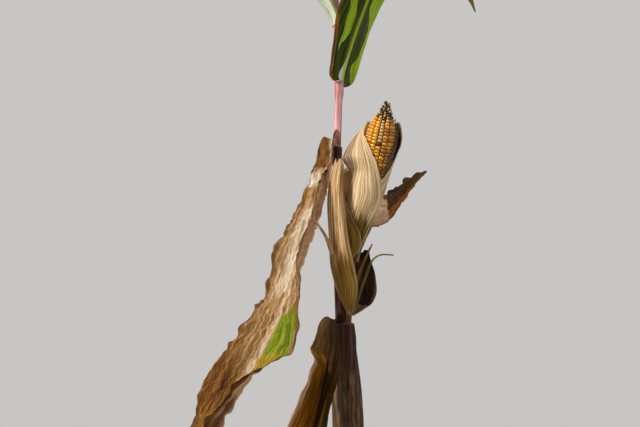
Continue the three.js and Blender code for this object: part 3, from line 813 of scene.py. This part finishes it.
def midrib(index):
    """The midrib's points by share of its length, with its directions to the left and up"""
    leaf = LEAVES[index]
    u = np.linspace(0, 1, MIDRIB_STEPS + 1)
    rise = np.radians(smooth(leaf["bend"], u))
    turn = np.radians(leaf["heading"] + leaf["sweep"] * smoothstep(u, 0, 1))
    forward = np.stack([np.cos(turn) * np.cos(rise), np.sin(turn) * np.cos(rise), np.sin(rise)], -1)
    level = np.stack([-np.sin(turn), np.cos(turn), np.zeros_like(u)], -1)
    twist = np.radians(leaf["twist"] * smoothstep(u, 0.1, 1))[:, None]
    side = np.cos(twist) * level + np.sin(twist) * np.cross(forward, level)
    foot = CLASP_ROOM * sheath_radius(index, leaf["collar"], 180.0)
    start = spread(between(STEM_SWAY, leaf["collar"]), leaf["heading"], foot, leaf["collar"] + 1.3 * GAP)
    walked = np.r_[np.zeros((1, 3)), np.cumsum(forward[:-1], axis=0)]
    at = start + walked * blade_length(index) / MIDRIB_STEPS
    return u, at, side, np.cross(forward, side), foot


# The marks of the blades round the ear, by share of the length and from the right margin, -1, to the
# left one, 1


def olive_marks(u, v):
    return dict(
        warm=0.95 * smoothstep(-v, 0.02, 0.2) * smoothstep(u, 0.05, 0.12),
        silver=0.9 * smoothstep(-v, 0.7, 0.95) * smoothstep(u, 0.08, 0.12),
    )


# silver: painted sunlight on the lit face; warm: painted glow through the leaf
def brown_marks(u, v):
    return dict(
        warm=0.8 * hump(v, -0.12, 0.25) * smoothstep(u, 0.3, 0.42),
        silver=0.95 * fall(u, 0.36, 0.46),
    )


# The split blade: silver is partly bleached leaf, partly painted highlight; brown is partly dead leaf,
# partly painted shade
def split_marks(u, v):
    bleached_and_sheen = smoothstep(u, 0.16, 0.2) * fall(u, 0.36, 0.42) * hump(v, -0.36, 0.36)
    wear_and_painted_light = hump(u, 0.5, 0.05) * hump(v, -0.15, 0.2)
    opened = smoothstep(v, 0.06, 0.1) * fall(v, 0.86, 0.94)
    foot_and_end = 0.95 * fall(u, 0.07, 0.1) + 0.6 * smoothstep(u, 0.5, 0.58)
    # the lower right half darker: painted shade
    right_half = 0.55 * smoothstep(u, 0.4, 0.46) * smoothstep(-v, 0.1, 0.45)
    bar_and_margin = 0.55 * hump(u, 0.155, 0.012) + 0.45 * smoothstep(np.abs(v), 0.82, 0.95)
    return dict(
        silver=0.85 * hump(u, 0.112, 0.024) + 0.8 * bleached_and_sheen + 0.4 * wear_and_painted_light,
        green=1.2 * opened * smoothstep(u, 0.41, 0.44) * fall(u, 0.49, 0.53),
        yellow=1.1 * opened * smoothstep(u, 0.465, 0.505) * fall(u, 0.56, 0.62),
        blush=1.2 * fall(u, 0.014, 0.03) * smoothstep(v, 0, 0.1),
        brown=foot_and_end + right_half + bar_and_margin,
    )


# sunlit bands are painted sunlight through the leaf; the rest stays dark as painted shade
def banded_marks(u, v):
    centre = -0.4 - 0.22 * fall(u, 0.07, 0.12) - 0.1 * smoothstep(u, 0.15, 0.2)
    band = hump(v, centre, 0.02 + 0.15 * smoothstep(u, 0.06, 0.13)) * smoothstep(u, 0.05, 0.07)
    edge = 0.72 - 0.34 * hump(u, 0.045, 0.025) - 0.46 * smoothstep(u, 0.15, 0.2)
    lit = smoothstep(v, edge, edge + 0.14) * smoothstep(u, 0.005, 0.03)
    from_rib = np.abs(v + 0.02 + 0.2 * fall(u, 0, 0.05))
    blaze = np.maximum(0.24 * (1 - u / 0.075), 0.001)
    return dict(
        sunlit=1.2 * np.maximum(band, lit),
        brown=smoothstep(-v, 0.72, 0.86) * fall(u, 0.08, 0.2),
        silver=1.2 - from_rib / blaze,
    )


def pale_marks(u, v):
    bands = np.maximum(hump(v, 0.45, 0.3), hump(v, -0.7, 0.2))
    return dict(silver=bands * (1.1 - smoothstep(u, 0.25, 0.4)))


def no_marks(u, v):
    return {}


# A blade's finish above, its finish below and its marks
GREEN_LOOKS = (GREEN_UPPER, GREEN_UNDER, no_marks)
DRY_LOOKS = (DRY_UPPER, DRY_UNDER, no_marks)
BLADE_LOOKS = {
    EAR_LEAF: (SHADED_OLIVE_BLADE, SHADED_OLIVE_BLADE, olive_marks),
    BROWN_LEAF: (BROWN_BLADE, BROWN_BLADE, brown_marks),
    SPLIT_LEAF: (SPLIT_UPPER, SUNLIT_SPLIT_UNDER, split_marks),
    BANDED_LEAF: (GREEN_UPPER, SUN_AND_SHADE_UNDER, banded_marks),
    PALE_LEAF: (GREEN_UPPER, PALE_UNDER, pale_marks),
}


def untorn(index, s, v):
    """The share of its width that a blade's torn margin leaves"""
    ragged = 0.02 if LEAVES[index]["green"] else 0.09
    half = np.sign(v)
    torn = ragged * (0.6 + 0.4 * bumps(s / 9, half * 3, index) + 0.5 * bumps(s / 31, half, index))
    return 1 - np.clip(torn, 0, 0.4) * smoothstep(s, 20, 60)


def relief(index, u, v, s, across, at_foot):
    """How far a blade stands off its plain fold, with its ripples, pleats, crumples, hem and groove"""
    leaf = LEAVES[index]
    dry = 0.25 if leaf["green"] else 1.0
    crushed, pleated = (2.4, 0.5) if index == SPLIT_LEAF else (1.0, 1.1)
    free = smoothstep(s, 8, 40)
    rippled = leaf["wave"] * v * v * blade_taper(u) * (1 - at_foot)
    ripple = rippled * np.sin(2 * np.pi * leaf["waves"] * u + 2 * v)
    pleat = (0.35 + 0.65 * dry) * pleated * bumps(across / 6, s / 70, index + 20)
    slanted = across + 0.6 * s
    crumple = 0.7 * bumps(slanted / 7, s / 7, index + 40) + 0.45 * bumps(across / 3.6, s / 4.4, index)
    hem = v ** 4 * 2.2 * bumps(s / 16, np.sign(v) * 5, index + 60)
    groove = -1.1 * hump(across, 0, 2.4) * (1 - u)
    return ripple + free * (pleat + dry * (crushed * crumple + hem)) + groove


def blade(index):
    leaf = LEAVES[index]
    length = blade_length(index)
    green = leaf["green"]
    near = index in (SPLIT_LEAF, BANDED_LEAF)
    row, columns = NEAR_ROW_AND_COLUMNS if near else BLADE_ROW_AND_COLUMNS
    u, v = grid(int(length / row), columns)
    u = u ** 1.15 * 0.995
    v = 1 - 2 * v
    places, at, side, upper, foot = midrib(index)
    at, side, upper = (along(known, places, u[:, 0])[:, None] for known in (at, side, upper))
    s = u * length
    at_foot = np.exp(-s / leaf["grip"])
    wide = blade_width(index) / 2 * blade_taper(u) * untorn(index, s, v)
    if index == BANDED_LEAF:
        wide = wide * (1 + 0.24 * hump(s, 14, 34))
    distance = np.abs(v) * lerp(wide, foot * math.radians(leaf["clasp"]), at_foot)
    across = np.sign(v) * distance
    fold = np.radians(np.where(v > 0, smooth(leaf["left"], u), smooth(leaf["right"], u)))
    curl = at_foot / foot + 1e-5
    outward = np.sign(v) * (np.sin(fold + curl * distance) - np.sin(fold)) / curl
    raised = (np.cos(fold) - np.cos(fold + curl * distance)) / curl
    raised = raised + relief(index, u, v, s, across, at_foot)
    middle = at + outward[..., None] * side + raised[..., None] * upper
    thickness = BLADE_SHEET + RIB_THICKNESS * hump(across, 0, 2.6) * (1 - 0.8 * u) * smoothstep(s, 2, 30)
    margin = smoothstep(np.abs(v), 0.75, 1.0)
    dead = 0.15 + 0.5 * margin + 0.35 * smoothstep(u, 0.55, 1) if green else 0.42 + 0.25 * margin
    above, below, marks = BLADE_LOOKS.get(index, GREEN_LOOKS if green else DRY_LOOKS)
    name = f"leaf_{index + 1:02d}_blade"
    sheet(name + "_fine", middle, thickness, "blade_green" if green else "blade_dry", [above, below], [name],
          place=place_of(across, s, index * LEAF_SHIFT),
          dead=dead, rib=hump(across, 0, 2.2) * (1 - 0.6 * u), **marks(u, v))


for index in range(len(LEAVES)):
    blade(index)


# The ear


def follow(corners):
    """The length of a line, and how to find a point by distance along it, radius and turn from its front"""
    line = curve(corners, LINE_POINTS)
    total = walk(line)[-1]
    places = np.linspace(0, total, len(line))
    forward = unit(np.gradient(line, axis=0))
    front = unit(np.array([0, -1, 0]) + forward * forward[:, 1:2])
    side = np.cross(forward, front)

    def point(distance, radius, turn):
        distance, radius, angle = np.broadcast_arrays(distance, radius, np.radians(turn))
        held = np.clip(distance, 0, total)
        at, ahead, out, beside = (along(known, places, held) for known in (line, forward, front, side))
        at = at + (distance - held)[..., None] * ahead
        return at + (radius * np.cos(angle))[..., None] * out + (radius * np.sin(angle))[..., None] * beside

    return total, point


EAR_LENGTH, ear_point = follow(EAR_POINTS)


def cob_radius(s):
    return smooth(COB_RADIUS, s)


KERNEL_TONES = {
    "gold": (0xE09A14, 0xF6BC38, 0.25),
    "orange": (0xD08A0C, 0xF0A81E, 0.25),
    # darker amber kernels: partly their own tone, partly painted shade of the cob's right side and lower
    # rows
    "amber_and_shade": (0x8E560A, 0xBC7A16, 0.3),
    "cream": (0xB08C4C, 0xE2C890, 0.5),
    "dark": (0x2A1C12, 0x4A3422, 0.6),
}
KERNEL_SPACING = 4.15
KERNEL_FROM = 98
KERNEL_UNTIL = 248
KERNEL_SQUARENESS = 0.8
MOULDY_ROW = 0
CORE_LOOK = leafy("cob_core", 0.8, (0x4E2E0C, 0x74480E, 0x94641C), (0x20140C, 0x3A2816, 0x6A5434), 0x8A6A38,
                  0.0, 0.5)


def kernel_look(name):
    low, high, roughness = KERNEL_TONES[name]

    def paint(tree):
        return stops(tree, streaks(tree, 3, 3), (0.3, tone(low)), (0.7, tone(high)))

    return finish_of("kernels_" + name, roughness, paint, glow=0.12, coat=0.5)


def kernel(s, turn, size, height):
    """One rounded kernel with its crown outwards"""
    latitude = np.linspace(-0.5, 0.5, KERNEL_RINGS)[:, None] * np.pi
    longitude = np.arange(KERNEL_SIDES) / KERNEL_SIDES * 2 * np.pi

    def boxed(value):
        return np.sign(value) * np.abs(value) ** KERNEL_SQUARENESS

    across = boxed(np.cos(latitude)) * boxed(np.cos(longitude))
    ahead = boxed(np.cos(latitude)) * boxed(np.sin(longitude))
    out = np.sin(latitude) + 0 * longitude
    base = ear_point(s, cob_radius(s), turn)
    outward = unit(base - ear_point(s, 0, turn))
    onward = unit(ear_point(s + 1, cob_radius(s + 1), turn) - ear_point(s - 1, cob_radius(s - 1), turn))
    beside = np.cross(onward, outward)
    outward = np.cross(beside, onward)
    wide = np.pi * cob_radius(s) / KERNEL_ROWS * 0.92 * size
    rings = (
        base
        - outward * height * 0.85
        + across[..., None] * beside * wide * (1 + 0.12 * out[..., None])
        + ahead[..., None] * onward * KERNEL_SPACING * 0.53 * size
        + out[..., None] * outward * height
    )
    return closed(rings[1:-1])


def kernels():
    found = {name: [] for name in KERNEL_TONES}
    for row in range(KERNEL_ROWS):
        turn = row * 360 / KERNEL_ROWS
        first = KERNEL_FROM + row % 2 * KERNEL_SPACING / 2
        for s in np.arange(first, KERNEL_UNTIL, KERNEL_SPACING):
            chance = rng.random(6)
            tip = smoothstep(s, 214, 236)
            size = (1 - 0.3 * tip) * (0.96 + 0.06 * chance[0])
            front = (turn + 180) % 360 - 180
            mouldy = row == MOULDY_ROW and s > 186
            kind = "gold" if chance[1] < 0.55 else "orange"
            # kernels on the cob's right side and low down take the amber tone, partly painted shade
            if front > 15 or s < 150 - 20 * chance[2]:
                kind = "amber_and_shade" if chance[2] < 0.6 else "orange"
            if mouldy:
                kind = "cream" if chance[4] < 0.85 else "dark"
                size *= 0.8
            if s > 224 + 6 * chance[3]:
                kind = "cream" if chance[4] < 0.5 else "dark"
            jitter = (chance[5] - 0.5) * 2
            found[kind].append(kernel(s + 0.3 * jitter, turn + 1.2 * jitter, size, 3.3 - 1.6 * tip))
    return {name: joined(some) for name, some in found.items()}


rng = np.random.default_rng(7)
s = np.linspace(COB_START, EAR_LENGTH - 1, CORE_RINGS)[:, None]
turn = np.arange(CORE_SIDES) / CORE_SIDES * 360
rough = 0.7 * bumps(s / 2.4, turn / 9, 3)
radius = np.maximum(cob_radius(s) - 2.6 * smoothstep(s, 92, 102) + rough, 0.6)
lengthwise = np.repeat(s[:, 0], CORE_SIDES)
piece("cob_core", *closed(ear_point(s, radius, turn)), "kernels", [CORE_LOOK], ["ear_cob"],
      place=place_of(np.tile(turn / 4, CORE_RINGS), lengthwise, 0),
      dead=smoothstep(lengthwise, 200, 230), rib=0)
for name, (points, faces) in kernels().items():
    piece("kernels_" + name, points, faces, "kernels", [kernel_look(name)], place=points)


# Husks, strips and stalk

HUSK_SHEET = 0.7
CUP_SHEET = 0.8


def fibrous(name, roughness, tones, dark_tones, glow=0.2, marks=(), rib_tone=0xE2CFA8):
    """A husk's finish: fine fibres along it, stained where it is dead, and with marks of other tones"""

    def paint(tree):
        colour = tones_of(tree, streaks(tree, 1.8, 60), tones)
        stains = tones_of(tree, streaks(tree, 2.8, 30, 4.0, 6.0), dark_tones)
        colour = blend(tree, patches(tree, "dead", 4, 30), colour, stains)
        for mark, mark_tones in marks:
            marked = tones_of(tree, streaks(tree, 1.3, 50, 8.0), mark_tones)
            colour = blend(tree, patches(tree, mark, 3, 40), colour, marked)
        return blend(tree, value_of(tree, "rib"), colour, tone(rib_tone))

    return finish_of(name, roughness, paint, lambda tree: streaks(tree, 1.5, 70, 5.0, 4.0), 0.8, glow)


# Cream husks: their olive mark, darker toward the ear's foot, is partly the husk's own colour and partly
# painted shade
CREAM_HUSK = fibrous(
    "husk_cream", 0.55, (0x98724A, 0xD4B286, 0xF8E2BC), (0x84684A, 0xAE9070, 0xD0B694),
    marks=[("grey", (0x5C463A, 0x927862, 0xC4A88A)), ("olive", (0x362604, 0x5C440C, 0x8A6C2E))],
)
# The husks' inner faces: dark brown as painted shade between the husks and the kernels
SHADED_HUSK_INSIDE = fibrous("husk_inside_painted_shade", 0.6, (0x2E1C0C, 0x4A3218, 0x6E5230), (0x1C1008, 0x34220E, 0x54401E),
                      0.15)
BROWN_HUSK = fibrous("husk_brown", 0.6, (0x8A6238, 0xC49A68, 0xECCEA4), (0x62400E, 0x966C32, 0xC09A60),
                     marks=[("olive", (0x56380A, 0x84601C, 0xAE8640))], rib_tone=0xC8A878)
# The cup: a dark purple-brown husk, darker still as painted shade in its hollow
DARK_AND_SHADED_HUSK = fibrous("husk_dark", 0.7, (0x1E120C, 0x3A2616, 0x664628), (0x140C08, 0x281A10, 0x46321E), 0.05,
                    [("olive", (0x7A5430, 0xA07C56, 0xBE9A74))])
STRIP_TONES = {
    "husk_strip_left": ((0x96704C, 0xBC9672, 0xDCBEA0), (0x7A5636, 0x9A7450, 0xBA9670)),
    "husk_strip_near": ((0x6A4618, 0x92682E, 0xB48C50), (0x503410, 0x74521E, 0x987238)),
    "husk_strip_right": ((0x54431C, 0x7A6434, 0xA08A58), (0x40300E, 0x604A20, 0x846C3C)),
}
HUSK_LOOKS = {
    "husk_right": (CREAM_HUSK, SHADED_HUSK_INSIDE, "husk"),
    "husk_back": (CREAM_HUSK, CREAM_HUSK, "husk"),
    "husk_left": (CREAM_HUSK, SHADED_HUSK_INSIDE, "husk"),
    "husk_outer": (BROWN_HUSK, BROWN_HUSK, "husk_brown"),
}


def husk(name, shape):
    layer = shape["layer"]
    u, v = grid(int((shape["end"] - shape["start"]) / HUSK_ROW), HUSK_COLUMNS)
    s = lerp(shape["start"], shape["end"], u)
    low, high = smooth(shape["from_turn"], s), smooth(shape["to_turn"], s)
    lift = smooth(shape["from_lift"], s) * (1 - v) ** 1.6 + smooth(shape["to_lift"], s) * v ** 1.6
    torn = 2 * bumps(s / 5, 1, 30) * ((1 - v) ** 12 + v ** 12)
    turn = lerp(low, high, v) + torn
    radius = cob_radius(s) + HUSK_ROOM + HUSK_THICKNESS / 2 + layer * HUSK_STEP
    ribs = 0.2 * bumps(v * 13 + bumps(v * 3, s / 40, 1), s / 60, layer + 2)
    wing = smoothstep(s, 132, 150) * fall(v, 0.34, 0.42) * (name == "husk_left")
    middle = ear_point(s, radius + lift + ribs - 1.4 * wing, turn)
    outer, inner, slot = HUSK_LOOKS[name]
    edge = np.minimum(v, 1 - v) * np.radians(high - low) * radius
    rim = 4.5 if name == "husk_right" else 1.8
    sheet(name + "_fine", middle, HUSK_SHEET, slot, [outer, inner], [name],
          place=place_of(v * 70, s, layer * 9),
          dead=0.25 + 0.2 * bumps(v * 6, s / 40, 8), rib=0.7 * fall(edge, 0.5, rim),
          # olive: darker toward the ear's foot, partly painted shade
          grey=0.75 * wing, olive=1.05 * fall(s, 62, 146))


for name, shape in HUSKS.items():
    husk(name, shape)

ROLL_LENGTH, roll_point = follow(ROLL_POINTS)
u, v = grid(*ROLL_GRID)
turn = lerp(ROLL_FROM + 26 * hump(u, 0.8, 0.2), ROLL_TO, v)
strip = smoothstep(turn, 30 - 26 * u, 38 - 26 * u) * smoothstep(u, 0.1, 0.2)
radius = smooth(ROLL_RADIUS, u) + 0.36 * bumps(v * 20, u * 7, 4) * smoothstep(u, 0.02, 0.15) + 1.1 * strip
middle = roll_point(u * ROLL_LENGTH, radius, turn)
torn = 0.95 + 0.05 * bumps(v * 13, 2, 14)
sheet("husk_rolled_fine", middle, HUSK_SHEET, "husk_brown", [BROWN_HUSK, BROWN_HUSK], ["husk_rolled"],
      keep=(u < torn)[1:, 1:],
      place=place_of(v * 60, u * ROLL_LENGTH, 30),
      dead=0.3 + 0.3 * bumps(v * 5, u * 5, 2), rib=0.8 * fall(v * 40, 0.5, 2),
      olive=0.75 * fall(u, 0.25, 0.5) - 0.3 * fall(u, 0.02, 0.1))

u, v = grid(*CUP_GRID)
s = lerp(CUP_START, CUP_END + 4 * bumps(v * 7, 1, 9), u)
radius = smooth(CUP_RADIUS, s) * lerp(1, CUP_BACK_SHARE, v) + 0.6 * bumps(v * 9, s / 14, 6)
wrap = 50 * smoothstep(s, 14, 30) * v ** 3
middle = ear_point(s, radius, CUP_MIDDLE + lerp(-1, 1, v) * smooth(CUP_SPREAD, s) + wrap)
sheet("husk_cup_fine", middle, CUP_SHEET, "husk_dark", [DARK_AND_SHADED_HUSK, DARK_AND_SHADED_HUSK], ["husk_cup"],
      place=place_of(v * 60, s, 50), dead=0.3, rib=0, olive=0.9 * fall(s, 5, 10))

for name, (width, corners) in STRIPS.items():
    look = fibrous(name.removeprefix("husk_"), 0.6, *STRIP_TONES[name])
    radii = width * (1 - 0.6 * np.linspace(0, 1, STRIP_RINGS))
    points, faces = tube(curve(corners, STRIP_RINGS), radii, STRIP_SIDES, 0.5)
    piece(name + "_fine", points, faces, "husk", [look], [name],
          place=place_round(STRIP_RINGS, STRIP_SIDES, 0.7, 90, 70), dead=0.4, rib=0)

in_sheath = [spread(between(STEM_SWAY, z), STALK_HEADING, off, z) for z, off in STALK_IN_SHEATH]
below_cob = [ear_point(s, 0, 0) for s in (0, 34, COB_START - 2 * GAP)]
radii = STALK_RADIUS * (1 - 0.12 * np.linspace(0, 1, STALK_RINGS))
points, faces = tube(curve(in_sheath + below_cob, STALK_RINGS), radii, STALK_SIDES)
piece("ear_stalk_fine", points, faces, "sheath_dry", [DRY_SHEATH], ["ear_stalk"],
      place=place_round(STALK_RINGS, STALK_SIDES, 1, STALK_LENGTH, 90), dead=0.3, rib=0)


# Silk

SILK_THREADS = 70


def silk_paint(tree):
    return tones_of(tree, streaks(tree, 2, 9), (0x2E1A10, 0x5C3E2E, 0xC8A494))


threads = []
for i in range(SILK_THREADS):
    t = np.linspace(0, 1, SILK_POINTS)
    chance = rng.random(5)
    s = lerp(150 + 50 * chance[3], 176 + 54 * chance[0], t)
    across = lerp(-16, 14, chance[1]) + 9 * bumps(3 * t, i, 5)
    stands = between(SILK_STANDS, s) * (0.2 + chance[2]) + 1.1 * bumps(5 * t, i, 9)
    line = ear_point(s, cob_radius(s) + stands, smooth(HUSKS["husk_right"]["from_turn"], s) + across)
    threads.append(tube(line, 0.3 * (1 - 0.4 * t), 5))
points, faces = joined(threads)
piece("silk_threads", points, faces, "silk", [finish_of("silk", 0.6, silk_paint)], ["silk"], place=points)


# Tassel

TASSEL_LOOK = leafy("tassel", 0.7, (0x8E7444, 0xB49A64, 0xD2BE8C), (0x6A5230, 0x94794C, 0xB89E70), 0xB49A64,
                    0.1, 0.3)
TASSEL_X = between(STEM_SWAY, STEM_TOP)
TASSEL_FOOT = STEM_TOP + GAP
SPIKELET_RADII = np.array([0.5, 1.3, 1.6, 1.4, 0.9, 0.2])


def spikelets(corners, radius, count):
    """A twig set with spikelets, each as (points, faces)"""
    line = curve(corners, TWIG_POINTS)
    found = [tube(line, radius * (1 - 0.6 * np.linspace(0, 1, TWIG_POINTS)), 8)]
    forward = unit(np.gradient(line, axis=0))
    for i in range(count):
        at = 0.1 + 0.89 * i / count
        k = int(at * (TWIG_POINTS - 1))
        ahead = forward[k]
        angle = i * 2.1
        beside = unit(np.cross(ahead, [math.cos(angle), math.sin(angle), 0.3]))
        tip = ahead * (6 + 3 * rng.random()) + beside * (1.6 + 1.6 * rng.random())
        grain = [line[k] + beside * 0.6, line[k] + 0.35 * tip + beside, line[k] + tip]
        found.append(tube(curve(grain, len(SPIKELET_RADII)), SPIKELET_RADII * (1 - 0.3 * at), 6))
    return found


def branch_point(i, share, rise):
    """A point of a branch of the tassel, by share of its reach and of its height"""
    reach = share * (95 - 5 * i)
    angle = i * 2.4 + 0.5
    height = TASSEL_FOOT + 18 + 13 * i + rise * (175 - 5 * i)
    return (TASSEL_X - 0.5 + reach * math.cos(angle), reach * math.sin(angle), height)


spike = [(0, 0, TASSEL_FOOT), (-3, 0, TASSEL_FOOT + 120), (2, -4, TASSEL_TOP - 90), (8, -8, TASSEL_TOP)]
parts = spikelets([(TASSEL_X + x, y, z) for x, y, z in spike], 2.2, 150)
for i in range(TASSEL_BRANCHES):
    corners = [branch_point(i, *shares) for shares in ((0, 0), (0.28, 0.3), (0.66, 0.68), (1, 0.98))]
    parts += spikelets(corners, 1.5, 84)
points, faces = joined(parts)
piece("tassel_fine", points, faces, "tassel", [TASSEL_LOOK], ["tassel"],
      place=np.stack([points[:, 0] * 0.3, points[:, 2], points[:, 1]], -1), dead=0.4, rib=0)
